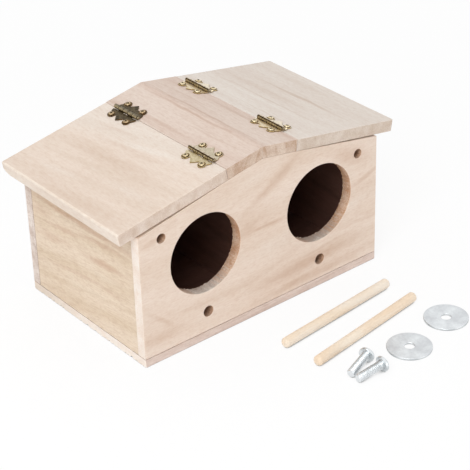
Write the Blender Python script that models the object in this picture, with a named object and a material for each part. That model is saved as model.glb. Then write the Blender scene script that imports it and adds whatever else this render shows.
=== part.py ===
# Two-chamber wooden nest box with a fixed ridge, two lids on butterfly hinges, and its loose perches,
# bolts and washers laid out in front. Metres, +Z up, front wall facing -Y.
# The origin is the centre of the floor board's underside.

from math import atan2, cos, pi, radians, sin, tan

import bmesh
import bpy
from mathutils import Vector

# Box
BOX_WIDTH = 0.200
BOX_DEPTH = 0.1275
FLOOR_THICKNESS = 0.0059
WALL_THICKNESS = 0.0078
DIVIDER_THICKNESS = 0.0060
EDGE_EASE = 0.0004
SEAT_GAP = 0.0003

# Roof
RIDGE_HEIGHT = 0.1237
ROOF_PITCH = radians(9.85)
ROOF_THICKNESS = 0.0085
ROOF_OVERHANG = 0.0153
ROOF_SETBACK = 0.0009
RIDGE_BOARD_WIDTH = 0.0303
LID_JOINT_GAP = 0.0004
LID_EAVE_GAP = 0.0010

# Openings in the front wall
ENTRANCE_DIAMETER = 0.0564
ENTRANCE_OFFSET = 0.0482
ENTRANCE_HEIGHT = 0.0644
PERCH_HOLE_HEIGHT = 0.0208
PERCH_HOLE_CLEARANCE = 0.0008
BOLT_HOLE_CLEARANCE = 0.0007
BOLT_HOLE_SIDE_INSET = 0.0175
BOLT_HOLE_DROP = 0.0076
CUT_OVERRUN = 0.0020

# Butterfly hinges
HINGE_LENGTH = 0.0250
KNUCKLE_COUNT = 5
KNUCKLE_GAP = 0.0004
LEAF_THICKNESS = 0.0006
LEAF_TIP_REACH = 0.0103
LEAF_NOTCH_REACH = 0.0060
LEAF_SHOULDER_REACH = 0.0032
LEAF_SHOULDER_DROP = 0.0002
COMB_CLEARANCE = 0.00035
HARDWARE_GAP = 0.0002
PIN_RADIUS = 0.0006
PIN_CLEARANCE = 0.0003
PIN_HEAD_RADIUS = 0.0011
PIN_HEAD_HEIGHT = 0.0007
CURL_TURN = radians(300)
LOBE_START = radians(-100)
LOBE_END = radians(120)
LEFT_FRONT_HINGE_INSET = 0.0229
RIGHT_FRONT_HINGE_INSET = 0.0263
BACK_HINGE_INSET = 0.0245

# Hinge screws
SCREW_REACH = 0.0070
SCREW_SPACING = 0.0164
SCREW_LOBE_RADIUS = 0.0030
SCREW_HEAD_RADIUS = 0.0021
SCREW_HEAD_HEIGHT = 0.0008
SCREW_RIM_HEIGHT = 0.0002
SCREW_SHANK_RADIUS = 0.0009
SCREW_SHANK_LENGTH = 0.0060
SCREW_POINT_LENGTH = 0.0018
SCREW_HOLE_CLEARANCE = 0.00025
SCREW_HOLE_SPARE_DEPTH = 0.0005

# Loose perches
PERCH_DIAMETER = 0.0070
PERCH_LENGTH = 0.1010
PERCH_END_ROUNDING = 0.0022
PERCH_1_X = 0.0304
PERCH_1_AHEAD = 0.0369
PERCH_1_TURN = radians(5.1)
PERCH_2_X = 0.0322
PERCH_2_AHEAD = 0.0634
PERCH_2_TURN = radians(7.9)

# Loose hanging hardware
BOLT_DIAMETER = 0.0060
BOLT_SHANK_LENGTH = 0.0195
BOLT_POINT_CHAMFER = 0.0006
BOLT_HEAD_DIAMETER = 0.0116
BOLT_HEAD_HEIGHT = 0.0042
BOLT_RIM_HEIGHT = 0.0014
BOLT_1_X = 0.0085
BOLT_1_AHEAD = 0.0880
BOLT_1_TURN = radians(17)
BOLT_2_X = 0.0090
BOLT_2_AHEAD = 0.1014
BOLT_2_TURN = radians(-3)
WASHER_DIAMETER = 0.0300
WASHER_THICKNESS = 0.0013
WASHER_EDGE = 0.0002
WASHER_HOLE_CLEARANCE = 0.0010
WASHER_1_X = 0.0827
WASHER_1_AHEAD = 0.0862
WASHER_2_X = 0.0411
WASHER_2_AHEAD = 0.0942

# Facets round a full circle, and along the arcs below them
ENTRANCE_STEPS = 64
HOLE_STEPS = 24
TURNED_STEPS = 24
WASHER_STEPS = 48
SCREW_STEPS = 14
CURL_STEPS = 18
LOBE_STEPS = 10
CROWN_STEPS = 3
ROUNDING_STEPS = 4
BOLT_DOME_STEPS = 6

# Mesh settings
MERGE_DISTANCE = 0.000001
SHARP_ANGLE = radians(40)

# Sizes that follow from the driving ones
half_width = BOX_WIDTH / 2
half_depth = BOX_DEPTH / 2
wall_foot = FLOOR_THICKNESS + SEAT_GAP
inner_half_depth = half_depth - WALL_THICKNESS
eave_reach = (half_width + ROOF_OVERHANG) / cos(ROOF_PITCH)
knuckle_radius = PIN_RADIUS + PIN_CLEARANCE + LEAF_THICKNESS
hinge_axis_height = knuckle_radius + HARDWARE_GAP
knuckle_pitch = HINGE_LENGTH / KNUCKLE_COUNT
screw_hole_radius = SCREW_SHANK_RADIUS + SCREW_HOLE_CLEARANCE
perch_hole_radius = (PERCH_DIAMETER + PERCH_HOLE_CLEARANCE) / 2
bolt_hole_radius = (BOLT_DIAMETER + BOLT_HOLE_CLEARANCE) / 2
washer_hole_radius = (BOLT_DIAMETER + WASHER_HOLE_CLEARANCE) / 2

# Each finish: sRGB colour, roughness and metallic value
FINISHES = {
    "front_board": ((0xE8, 0xD6, 0xC6), 0.65, 0.0),
    "back_board": ((0xE4, 0xD2, 0xC0), 0.65, 0.0),
    "end_board": ((0xE0, 0xCB, 0xB0), 0.65, 0.0),
    "floor_board": ((0xDC, 0xC2, 0xAC), 0.68, 0.0),
    "lid_board": ((0xE5, 0xD5, 0xC6), 0.62, 0.0),
    "ridge_board": ((0xDE, 0xCB, 0xBE), 0.62, 0.0),
    "dowel": ((0xFA, 0xE3, 0xC6), 0.55, 0.0),
    "antique_brass": ((0xB0, 0x9A, 0x5C), 0.35, 1.0),
    "bright_zinc": ((0xCD, 0xD2, 0xD4), 0.30, 1.0),
}


def clear_scene():
    for obj in list(bpy.data.objects):
        bpy.data.objects.remove(obj, do_unlink=True)


def linear(channel):
    value = channel / 255
    return value / 12.92 if value <= 0.04045 else ((value + 0.055) / 1.055) ** 2.4


def finish(name, kind):
    colour, roughness, metallic = FINISHES[kind]
    material = bpy.data.materials.new(name)
    material.use_nodes = True
    shader = material.node_tree.nodes["Principled BSDF"]
    shader.inputs["Base Color"].default_value = [linear(channel) for channel in colour] + [1]
    shader.inputs["Roughness"].default_value = roughness
    shader.inputs["Metallic"].default_value = metallic
    return material


def place(name, shape, kind, location=(0, 0, 0), rotation=(0, 0, 0), parent=None, smooth=False):
    mesh = bpy.data.meshes.new(name)
    shape.to_mesh(mesh)
    shape.free()
    if smooth:
        mesh.shade_smooth()
        mesh.set_sharp_from_angle(angle=SHARP_ANGLE)
    obj = bpy.data.objects.new(name, mesh)
    bpy.context.scene.collection.objects.link(obj)
    obj.location = location
    obj.rotation_euler = rotation
    obj.parent = parent
    if kind:
        mesh.materials.append(finish(name, kind))
    return obj


def guide(name, shape, location=(0, 0, 0), rotation=(0, 0, 0), parent=None):
    obj = place(name, shape, None, location, rotation, parent)
    obj.hide_render = True
    obj.display_type = "WIRE"
    return obj


def frame(name, location, rotation=(0, 0, 0), parent=None):
    empty = bpy.data.objects.new(name, None)
    bpy.context.scene.collection.objects.link(empty)
    empty.location = location
    empty.rotation_euler = rotation
    empty.parent = parent
    return empty


def combine(obj, operation, other):
    modifier = obj.modifiers.new(operation.lower(), "BOOLEAN")
    modifier.operation = operation
    modifier.object = other
    modifier.solver = "EXACT"


def ease_edges(obj):
    modifier = obj.modifiers.new("ease", "BEVEL")
    modifier.width = EDGE_EASE
    modifier.segments = 1
    modifier.limit_method = "ANGLE"
    modifier.angle_limit = SHARP_ANGLE


def add_prism(shape, outline, low, high, along):
    # outline: points in the plane square to the axis named by along, X-Z for Y and X-Y for Z
    if along == "Y":
        corners = [Vector((a, low, b)) for a, b in outline]
        run = Vector((0, high - low, 0))
    else:
        corners = [Vector((a, b, low)) for a, b in outline]
        run = Vector((0, 0, high - low))
    face = shape.faces.new([shape.verts.new(corner) for corner in corners])
    pushed = bmesh.ops.extrude_face_region(shape, geom=[face])
    moved = [item for item in pushed["geom"] if isinstance(item, bmesh.types.BMVert)]
    bmesh.ops.translate(shape, verts=moved, vec=run)
    bmesh.ops.recalc_face_normals(shape, faces=shape.faces)


def prism(outline, low, high, along):
    shape = bmesh.new()
    add_prism(shape, outline, low, high, along)
    return shape


def arc(centre, radius, start, end, steps):
    angles = [start + (end - start) * step / steps for step in range(steps + 1)]
    return [(centre[0] + radius * cos(angle), centre[1] + radius * sin(angle)) for angle in angles]


def circle(centre, radius, steps):
    return arc(centre, radius, 0, 2 * pi, steps)[:-1]


def quarter_crown(steps):
    # a unit quarter circle from the top of a dome down to its rim
    return arc((0, 0), 1, pi / 2, 0, steps)


def turned(profile, steps, closed=False):
    # profile: radius and height pairs, turned about Z
    shape = bmesh.new()
    verts = [shape.verts.new((radius, 0, height)) for radius, height in profile]
    edges = [shape.edges.new(pair) for pair in zip(verts, verts[1:])]
    if closed:
        edges.append(shape.edges.new((verts[-1], verts[0])))
    bmesh.ops.spin(
        shape, geom=verts + edges, cent=(0, 0, 0), axis=(0, 0, 1), angle=2 * pi, steps=steps, use_merge=True
    )
    bmesh.ops.remove_doubles(shape, verts=shape.verts, dist=MERGE_DISTANCE)
    bmesh.ops.recalc_face_normals(shape, faces=shape.faces)
    return shape


def roof_underside(x):
    return RIDGE_HEIGHT - ROOF_THICKNESS / cos(ROOF_PITCH) - abs(x) * tan(ROOF_PITCH)


# The walls carry the ridge boards; under the lids their top falls away a little more than the roof does
joint_x = RIDGE_BOARD_WIDTH * cos(ROOF_PITCH) - ROOF_THICKNESS * sin(ROOF_PITCH)
joint_height = roof_underside(joint_x) - SEAT_GAP
eave_height = roof_underside(half_width) - LID_EAVE_GAP


def wall_top(x):
    if abs(x) <= joint_x:
        return roof_underside(x) - SEAT_GAP
    share = (abs(x) - joint_x) / (half_width - joint_x)
    return joint_height + (eave_height - joint_height) * share


def floor():
    front = [(-half_width, -half_depth), (half_width, -half_depth)]
    back = [(half_width, half_depth), (-half_width, half_depth)]
    board = place("floor_board", prism(front + back, 0, FLOOR_THICKNESS, "Z"), "floor_board")
    ease_edges(board)


def gable_outline():
    break_points = (half_width, joint_x, 0, -joint_x, -half_width)
    return [(-half_width, wall_foot), (half_width, wall_foot)] + [(x, wall_top(x)) for x in break_points]


def front_wall():
    outer = -half_depth
    inner = -inner_half_depth
    board = place("front_wall", prism(gable_outline(), outer, inner, "Y"), "front_board")
    ease_edges(board)
    holes = bmesh.new()
    bolt_hole_x = half_width - BOLT_HOLE_SIDE_INSET
    bolt_hole_z = eave_height - BOLT_HOLE_DROP
    for side in (-1, 1):
        entrance = circle((side * ENTRANCE_OFFSET, ENTRANCE_HEIGHT), ENTRANCE_DIAMETER / 2, ENTRANCE_STEPS)
        perch = circle((side * ENTRANCE_OFFSET, PERCH_HOLE_HEIGHT), perch_hole_radius, HOLE_STEPS)
        bolt = circle((side * bolt_hole_x, bolt_hole_z), bolt_hole_radius, HOLE_STEPS)
        for outline in (entrance, perch, bolt):
            add_prism(holes, outline, outer - CUT_OVERRUN, inner + CUT_OVERRUN, "Y")
    combine(board, "DIFFERENCE", guide("front_wall_holes", holes))


def back_wall():
    board = place("back_wall", prism(gable_outline(), inner_half_depth, half_depth, "Y"), "back_board")
    ease_edges(board)


def end_walls():
    inner = half_width - WALL_THICKNESS
    reach = inner_half_depth - SEAT_GAP
    for name, side in (("left_end_wall", -1), ("right_end_wall", 1)):
        outline = [(inner, wall_foot), (half_width, wall_foot)]
        outline += [(half_width, wall_top(half_width)), (inner, wall_top(inner))]
        outline = [(side * x, z) for x, z in outline]
        ease_edges(place(name, prism(outline, -reach, reach, "Y"), "end_board"))


def divider():
    half = DIVIDER_THICKNESS / 2
    reach = inner_half_depth - SEAT_GAP
    outline = [(-half, wall_foot), (half, wall_foot)] + [(x, wall_top(x)) for x in (half, 0, -half)]
    ease_edges(place("divider", prism(outline, -reach, reach, "Y"), "end_board"))


def hinge_places(side):
    # along the roof frame's Y; the left frame is turned half round, so its front is at +Y
    back = half_depth - BACK_HINGE_INSET
    if side == "left":
        return {"front": half_depth - LEFT_FRONT_HINGE_INSET, "back": -back}
    return {"front": RIGHT_FRONT_HINGE_INSET - half_depth, "back": back}


def screw_holes(name, side, hinge_side, top, parent):
    holes = bmesh.new()
    depth = SCREW_SHANK_LENGTH - LEAF_THICKNESS - 2 * HARDWARE_GAP + SCREW_HOLE_SPARE_DEPTH
    for y in hinge_places(side).values():
        for along in (-1, 1):
            centre = (hinge_side * SCREW_REACH, y + along * SCREW_SPACING / 2)
            outline = circle(centre, screw_hole_radius, SCREW_STEPS)
            add_prism(holes, outline, top - depth, top + CUT_OVERRUN, "Z")
    return guide(name, holes, parent=parent)


def ridge_board(side, roof_frame, hinge_line):
    # the boards meet in a plumb mitre, so their inner end is vertical when the board lies on its slope
    mitre_top = SEAT_GAP / 2 / cos(ROOF_PITCH)
    mitre_foot = mitre_top + ROOF_THICKNESS * tan(ROOF_PITCH)
    outer = RIDGE_BOARD_WIDTH - LID_JOINT_GAP / 2
    outline = [(mitre_top, 0), (outer, 0), (outer, -ROOF_THICKNESS), (mitre_foot, -ROOF_THICKNESS)]
    name = f"ridge_{side}_board"
    board = place(name, prism(outline, -half_depth, half_depth, "Y"), "ridge_board", parent=roof_frame)
    ease_edges(board)
    holes = screw_holes(f"{name}_screw_holes", side, -1, -hinge_axis_height, hinge_line)
    combine(board, "DIFFERENCE", holes)


def lid(side, pivot):
    inner = LID_JOINT_GAP / 2
    outer = eave_reach - RIDGE_BOARD_WIDTH
    top = -hinge_axis_height
    foot = top - ROOF_THICKNESS
    outline = [(inner, top), (outer, top), (outer, foot), (inner, foot)]
    name = f"{side}_lid"
    board = place(name, prism(outline, -half_depth, half_depth, "Y"), "lid_board", parent=pivot)
    ease_edges(board)
    combine(board, "DIFFERENCE", screw_holes(f"{name}_screw_holes", side, 1, top, pivot))


def rolled_sheet_profile():
    # a flat strip that rolls over the pin: bottom face, outer curl, inner curl, top face
    inner_radius = knuckle_radius - LEAF_THICKNESS
    reach = LEAF_TIP_REACH + CUT_OVERRUN
    start = -pi / 2
    end = start - CURL_TURN
    outer = arc((0, 0), knuckle_radius, start, end, CURL_STEPS)
    inner = arc((0, 0), inner_radius, end, start, CURL_STEPS)
    return [(reach, -knuckle_radius)] + outer + inner + [(reach, -inner_radius)]


def comb(owned):
    # the leaf's inner edge: a finger under each of its own knuckles, a bay for each of the other leaf's
    finger = -knuckle_radius - CUT_OVERRUN
    bay = knuckle_radius + COMB_CLEARANCE
    edge = []
    for index in range(KNUCKLE_COUNT):
        low = -HINGE_LENGTH / 2 + index * knuckle_pitch
        high = low + knuckle_pitch
        if index in owned:
            low += KNUCKLE_GAP / 2 if index > 0 else 0
            high -= KNUCKLE_GAP / 2 if index < KNUCKLE_COUNT - 1 else 0
            edge += [(bay, low), (finger, low), (finger, high), (bay, high)]
    return edge


def leaf_outline(owned):
    # one wing: two round screw lobes with a pointed corner between them
    half_length = HINGE_LENGTH / 2
    notch = LEAF_TIP_REACH - LEAF_NOTCH_REACH
    lobe_y = SCREW_SPACING / 2
    shoulder = half_length - LEAF_SHOULDER_DROP
    upper_lobe = arc((SCREW_REACH, lobe_y), SCREW_LOBE_RADIUS, LOBE_START, LOBE_END, LOBE_STEPS)
    lower_lobe = [(x, -y) for x, y in reversed(upper_lobe)]
    corner = [(LEAF_NOTCH_REACH, -notch), (LEAF_TIP_REACH, 0), (LEAF_NOTCH_REACH, notch)]
    outline = [(LEAF_SHOULDER_REACH, -shoulder)] + lower_lobe + corner
    outline += upper_lobe + [(LEAF_SHOULDER_REACH, shoulder)]
    edge = comb(owned)
    bay = knuckle_radius + COMB_CLEARANCE
    if 0 not in owned:
        edge = [(bay, -shoulder)] + edge + [(bay, shoulder)]
    else:
        edge = edge[1:-1]
    return outline + list(reversed(edge))


def hinge_leaf(name, owned, location, rotation, parent):
    half_length = HINGE_LENGTH / 2
    sheet = prism(rolled_sheet_profile(), -half_length, half_length, "Y")
    leaf = place(name, sheet, "antique_brass", location, rotation, parent, smooth=True)
    reach = knuckle_radius + CUT_OVERRUN
    plan = guide(f"{name}_plan", prism(leaf_outline(owned), -reach, reach, "Z"), location, rotation, parent)
    combine(leaf, "INTERSECT", plan)
    holes = bmesh.new()
    for along in (-1, 1):
        outline = circle((SCREW_REACH, along * SCREW_SPACING / 2), screw_hole_radius, SCREW_STEPS)
        add_prism(holes, outline, -reach, reach, "Z")
    combine(leaf, "DIFFERENCE", guide(f"{name}_screw_holes", holes, location, rotation, parent))


def hinge_pin(name, location, parent):
    # a rod with a low domed head just outside each end knuckle
    neck = HINGE_LENGTH / 2 + HARDWARE_GAP
    dome = [(PIN_HEAD_RADIUS * x, neck + PIN_HEAD_HEIGHT * z) for x, z in quarter_crown(CROWN_STEPS)]
    half = dome + [(PIN_RADIUS, neck)]
    profile = half + [(radius, -height) for radius, height in reversed(half)]
    pin = turned(profile, SCREW_STEPS)
    place(name, pin, "antique_brass", location, (pi / 2, 0, 0), parent, smooth=True)


def screw_profile():
    rise = SCREW_HEAD_HEIGHT - SCREW_RIM_HEIGHT
    crown = quarter_crown(CROWN_STEPS)
    dome = [(SCREW_HEAD_RADIUS * x, SCREW_RIM_HEIGHT + rise * z) for x, z in crown]
    neck = SCREW_SHANK_LENGTH - SCREW_POINT_LENGTH
    shank = [(SCREW_SHANK_RADIUS, 0), (SCREW_SHANK_RADIUS, -neck), (0, -SCREW_SHANK_LENGTH)]
    return dome + [(SCREW_HEAD_RADIUS, 0)] + shank


def hinge(side, end, y, hinge_line, pivot):
    name = f"hinge_{side}_{end}"
    spot = (0, y, 0)
    lid_knuckles = range(1, KNUCKLE_COUNT, 2)
    ridge_knuckles = range(0, KNUCKLE_COUNT, 2)
    hinge_leaf(f"{name}_lid_leaf", lid_knuckles, spot, (0, 0, 0), pivot)
    hinge_leaf(f"{name}_ridge_leaf", ridge_knuckles, spot, (0, 0, pi), hinge_line)
    hinge_pin(f"{name}_pin", spot, hinge_line)
    seat = -knuckle_radius + LEAF_THICKNESS + HARDWARE_GAP
    for board, reach, parent in (("lid", SCREW_REACH, pivot), ("ridge", -SCREW_REACH, hinge_line)):
        for number, along in ((1, -1), (2, 1)):
            location = (reach, y + along * SCREW_SPACING / 2, seat)
            screw_name = f"{name}_{board}_screw_{number}"
            screw = turned(screw_profile(), SCREW_STEPS)
            place(screw_name, screw, "antique_brass", location, parent=parent, smooth=True)


def roof():
    for side, turn in (("left", pi), ("right", 0)):
        ridge_top = (0, ROOF_SETBACK, RIDGE_HEIGHT)
        roof_frame = frame(f"{side}_roof_slope", ridge_top, (0, ROOF_PITCH, turn))
        axis_spot = (RIDGE_BOARD_WIDTH, 0, hinge_axis_height)
        hinge_line = frame(f"{side}_hinge_line", axis_spot, parent=roof_frame)
        pivot = frame(f"{side}_lid_pivot", axis_spot, parent=roof_frame)
        ridge_board(side, roof_frame, hinge_line)
        lid(side, pivot)
        for end, y in hinge_places(side).items():
            hinge(side, end, y, hinge_line, pivot)


def perches():
    radius = PERCH_DIAMETER / 2
    half = PERCH_LENGTH / 2
    flat = radius - PERCH_END_ROUNDING
    end = arc((flat, half - PERCH_END_ROUNDING), PERCH_END_ROUNDING, pi / 2, 0, ROUNDING_STEPS)
    half_profile = [(0, half)] + end
    profile = half_profile + [(r, -z) for r, z in reversed(half_profile)]
    spots = {
        "perch_1": (PERCH_1_X, PERCH_1_AHEAD, PERCH_1_TURN),
        "perch_2": (PERCH_2_X, PERCH_2_AHEAD, PERCH_2_TURN),
    }
    for name, (x, ahead, turn) in spots.items():
        location = (x, -half_depth - ahead, radius)
        place(name, turned(profile, TURNED_STEPS), "dowel", location, (0, pi / 2, turn), smooth=True)


def bolts():
    shank = BOLT_DIAMETER / 2
    head = BOLT_HEAD_DIAMETER / 2
    rise = BOLT_HEAD_HEIGHT - BOLT_RIM_HEIGHT
    dome = [(head * x, BOLT_RIM_HEIGHT + rise * z) for x, z in quarter_crown(BOLT_DOME_STEPS)]
    tip = -BOLT_SHANK_LENGTH
    point = [(shank, tip + BOLT_POINT_CHAMFER), (shank - BOLT_POINT_CHAMFER, tip), (0, tip)]
    profile = dome + [(head, 0), (shank, 0)] + point
    # each bolt lies on its head's rim and on the end of its shank
    tilt = atan2(head - shank, BOLT_SHANK_LENGTH - BOLT_POINT_CHAMFER)
    spots = {
        "bolt_1": (BOLT_1_X, BOLT_1_AHEAD, BOLT_1_TURN),
        "bolt_2": (BOLT_2_X, BOLT_2_AHEAD, BOLT_2_TURN),
    }
    for name, (x, ahead, turn) in spots.items():
        location = (x, -half_depth - ahead, head * cos(tilt))
        rotation = (0, pi / 2 - tilt, turn)
        place(name, turned(profile, TURNED_STEPS), "bright_zinc", location, rotation, smooth=True)


def washers():
    rim = WASHER_DIAMETER / 2
    top = WASHER_THICKNESS
    outer = [(rim - WASHER_EDGE, 0), (rim, WASHER_EDGE), (rim, top - WASHER_EDGE), (rim - WASHER_EDGE, top)]
    profile = [(washer_hole_radius, 0)] + outer + [(washer_hole_radius, top)]
    spots = {"washer_1": (WASHER_1_X, WASHER_1_AHEAD), "washer_2": (WASHER_2_X, WASHER_2_AHEAD)}
    for name, (x, ahead) in spots.items():
        location = (x, -half_depth - ahead, 0)
        place(name, turned(profile, WASHER_STEPS, closed=True), "bright_zinc", location, smooth=True)


def build():
    clear_scene()
    floor()
    front_wall()
    back_wall()
    end_walls()
    divider()
    roof()
    perches()
    bolts()
    washers()


build()
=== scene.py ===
import random
from math import atan2, copysign, cos, hypot, pi, radians, sin, sqrt, tan

import bmesh
import bpy
from mathutils import Matrix, Vector, noise


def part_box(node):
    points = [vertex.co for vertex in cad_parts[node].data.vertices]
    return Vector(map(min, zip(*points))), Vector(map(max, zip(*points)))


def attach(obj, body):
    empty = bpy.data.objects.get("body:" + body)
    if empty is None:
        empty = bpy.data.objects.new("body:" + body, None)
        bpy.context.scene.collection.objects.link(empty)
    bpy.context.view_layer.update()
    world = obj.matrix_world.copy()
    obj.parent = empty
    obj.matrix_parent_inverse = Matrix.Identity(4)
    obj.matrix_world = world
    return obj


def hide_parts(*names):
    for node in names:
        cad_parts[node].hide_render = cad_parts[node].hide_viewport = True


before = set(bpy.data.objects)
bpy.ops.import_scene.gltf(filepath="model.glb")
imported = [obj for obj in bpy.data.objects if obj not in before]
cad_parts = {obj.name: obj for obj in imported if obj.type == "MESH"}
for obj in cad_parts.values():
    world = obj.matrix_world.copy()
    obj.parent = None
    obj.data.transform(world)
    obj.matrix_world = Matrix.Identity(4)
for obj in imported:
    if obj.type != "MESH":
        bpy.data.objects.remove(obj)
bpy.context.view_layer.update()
metresPerMm = 0.001
mmPerMetre = 1000
nearMm = 1  # places this near to each other count as one
overrunMm = 1  # how far a cutter stands out of what it cuts
mergeMm = 0.0005  # points this near become one
print("frame loaded:", len(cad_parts), "nodes")


# Helpers

def linear(hexColour):  # sRGB hex to the linear values that sockets take
    channels = [int(hexColour[i:i + 2], 16) / 255 for i in (1, 3, 5)]
    return [c / 12.92 if c <= 0.04045 else ((c + 0.055) / 1.055) ** 2.4 for c in channels] + [1.0]


def add(tree, kind, settings=None, links=None, output=0):  # a node, its settings or operation, what feeds it
    node = tree.nodes.new("ShaderNode" + kind)
    settings = {"operation": settings} if isinstance(settings, str) else settings or {}
    for key, value in settings.items():
        if key == "stops":  # a ramp's (position, grey value) pairs
            stops = node.color_ramp.elements
            while len(stops) < len(value):
                stops.new(1.0)
            for stop, (position, grey) in zip(stops, value):
                stop.position = position
                stop.color = (grey, grey, grey, 1)
        elif key in ("From", "To"):  # both ends of a range
            for end, amount in zip((" Min", " Max"), value):
                node.inputs[key + end].default_value = amount
        elif isinstance(key, int) or key in node.inputs.keys():
            node.inputs[key].default_value = linear(value) if isinstance(value, str) else value
        else:
            setattr(node, key, value)
    for key, source in (links or {}).items():
        tree.links.new(source, node.inputs[key])
    return node.outputs[output]


def newFinish(name):  # an empty material: its tree and its shader
    finish = bpy.data.materials.new(name)
    finish.use_nodes = True
    tree = finish.node_tree
    return finish, tree, tree.nodes["Principled BSDF"]


def spotInMm(tree):  # the place on the piece, in its own millimetres
    spot = add(tree, "TexCoord", output="Object")
    return add(tree, "VectorMath", {"operation": "SCALE", "Scale": mmPerMetre}, {0: spot})


def layOver(tree, base, colour, amount, low, high, share=1.0):  # all of the share where amount is high
    cover = add(tree, "MapRange", {"From": (low, high), "To Max": share}, {0: amount})
    return add(tree, "Mix", {"data_type": "RGBA", 7: colour}, {0: cover, 6: base}, 2)


def surface(tree, shader, colour, grain, height, feel):  # colour, roughness and bump reach the shader
    rough = add(tree, "MapRange", {"To": feel["rough"]}, {0: grain})
    depth = feel["bumpMm"] * metresPerMm
    relief = add(tree, "Bump", {"Strength": feel["bump"], "Distance": depth}, {"Height": height})
    for socket, source in (("Base Color", colour), ("Roughness", rough), ("Normal", relief)):
        tree.links.new(source, shader.inputs[socket])
    for socket, value in feel["fixed"].items():
        shader.inputs[socket].default_value = value


def newPiece(name, shape, finishes, where=None):  # shape is a bmesh in mm, the piece is in metres
    bmesh.ops.scale(shape, vec=(metresPerMm,) * 3, verts=shape.verts)
    mesh = bpy.data.meshes.new(name)
    shape.to_mesh(mesh)
    shape.free()
    for finish in finishes:
        mesh.materials.append(finish)
    return place(name, mesh, where)


def place(name, data, where=None):  # a mesh, lamp or lens enters the scene
    piece = bpy.data.objects.new(name, data)
    bpy.context.scene.collection.objects.link(piece)
    piece.matrix_world = where or Matrix.Identity(4)
    return piece


def moved(*spotMm):  # a frame shifted to this spot
    return Matrix.Translation(Vector(spotMm) * metresPerMm)


def combine(piece, operation, shape, where=None):  # the shape only cuts, and goes when the piece settles
    step = piece.modifiers.new(operation.lower(), "BOOLEAN")
    step.operation = operation
    step.object = newPiece("cutter", shape, [], where)
    step.solver = "EXACT"


def settle(piece):  # modifiers become the plain mesh, their cutters go
    cutters = [step.object for step in piece.modifiers if step.type == "BOOLEAN"]
    bpy.context.view_layer.update()
    graph = bpy.context.evaluated_depsgraph_get()
    final = bpy.data.meshes.new_from_object(piece.evaluated_get(graph))
    piece.modifiers.clear()
    piece.data = final
    for cutter in cutters:
        bpy.data.objects.remove(cutter, do_unlink=True)


def shadeSmooth(piece, sharpDegrees=35):  # smooth rounds, with the flats kept flat
    piece.data.shade_smooth()
    piece.data.set_sharp_from_angle(angle=radians(sharpDegrees))
    flats = piece.modifiers.new("flats", "WEIGHTED_NORMAL")
    flats.keep_sharp = True
    settle(piece)


def easeEdges(piece, radiusMm, segments=3, degrees=None):  # without degrees, by the edges' own weights
    rounding = piece.modifiers.new("rounding", "BEVEL")
    rounding.width = radiusMm * metresPerMm
    rounding.segments = segments
    rounding.limit_method = "ANGLE" if degrees else "WEIGHT"
    rounding.angle_limit = radians(degrees or 0)


def arc(centre, radius, start, end, steps):  # angles in degrees
    angles = [radians(start + (end - start) * step / steps) for step in range(steps + 1)]
    return [(centre[0] + radius * cos(a), centre[1] + radius * sin(a)) for a in angles]


def dome(radius, foot, rise, start, steps):  # the profile of a rounded head, from its top down
    return [(radius * x, foot + rise * z) for x, z in arc((0, 0), 1, start, 0, steps)]


def rectangle(half, low, high):  # as wide to the left as to the right
    return [(-half, low), (half, low), (half, high), (-half, high)]


def pushOut(outline, low, high, along):  # an outline across the axis named by along
    shape = bmesh.new()
    slot = "XYZ".index(along)
    corners = [(*spot[:slot], low, *spot[slot:]) for spot in outline]
    face = shape.faces.new([shape.verts.new(corner) for corner in corners])
    pushed = bmesh.ops.extrude_face_region(shape, geom=[face])
    farEnd = [item for item in pushed["geom"] if isinstance(item, bmesh.types.BMVert)]
    run = [high - low if axis == along else 0 for axis in "XYZ"]
    bmesh.ops.translate(shape, verts=farEnd, vec=run)
    bmesh.ops.recalc_face_normals(shape, faces=shape.faces)
    return shape


def turned(profile, steps, closed=False):  # (radius, height) pairs turned about Z
    shape = bmesh.new()
    verts = [shape.verts.new((radius, 0, height)) for radius, height in profile]
    edges = [shape.edges.new(pair) for pair in zip(verts, verts[1:])]
    if closed:
        edges.append(shape.edges.new((verts[-1], verts[0])))
    bmesh.ops.spin(shape, geom=verts + edges, cent=(0, 0, 0), axis=(0, 0, 1), angle=2 * pi,
                   steps=steps, use_merge=True)
    bmesh.ops.remove_doubles(shape, verts=shape.verts, dist=mergeMm)
    bmesh.ops.recalc_face_normals(shape, faces=shape.faces)
    return shape


def skinned(rings):  # rings of points with a skin between them and over both ends
    shape = bmesh.new()
    rows = [[shape.verts.new(spot) for spot in ring] for ring in rings]
    for upper, lower in zip(rows, rows[1:]):
        for step in range(len(upper)):
            after = (step + 1) % len(upper)
            shape.faces.new((upper[step], lower[step], lower[after], upper[after]))
    shape.faces.new(rows[0])
    shape.faces.new(reversed(rows[-1]))
    bmesh.ops.recalc_face_normals(shape, faces=shape.faces)
    return shape


def crossRecess(head):  # a plus-shaped punch that narrows downwards
    reach, width, top = head["recessReachMm"], head["recessWidthMm"], head["headMm"]
    rings = []
    for arm, half, height in ((reach, width / 2, top + overrunMm), (reach, width / 2, top),
                              (reach / 3, width / 3, top - head["recessDepthMm"])):
        corners = [(arm, -half), (arm, half), (half, half)]
        turns = [Matrix.Rotation(radians(90 * quarter), 2) for quarter in range(4)]
        rings.append([(*(turn @ Vector(corner)), height) for turn in turns for corner in corners])
    return skinned(rings)


def layered(spot, layers):  # noise in layers of a size in mm and a share
    return sum(share * noise.noise(spot / size) for size, share in layers)


def hand(piece, body, slot, *replaced):  # gives a finished piece to its body
    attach(piece, body)
    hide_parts(*replaced)


# Wood finishes

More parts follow.
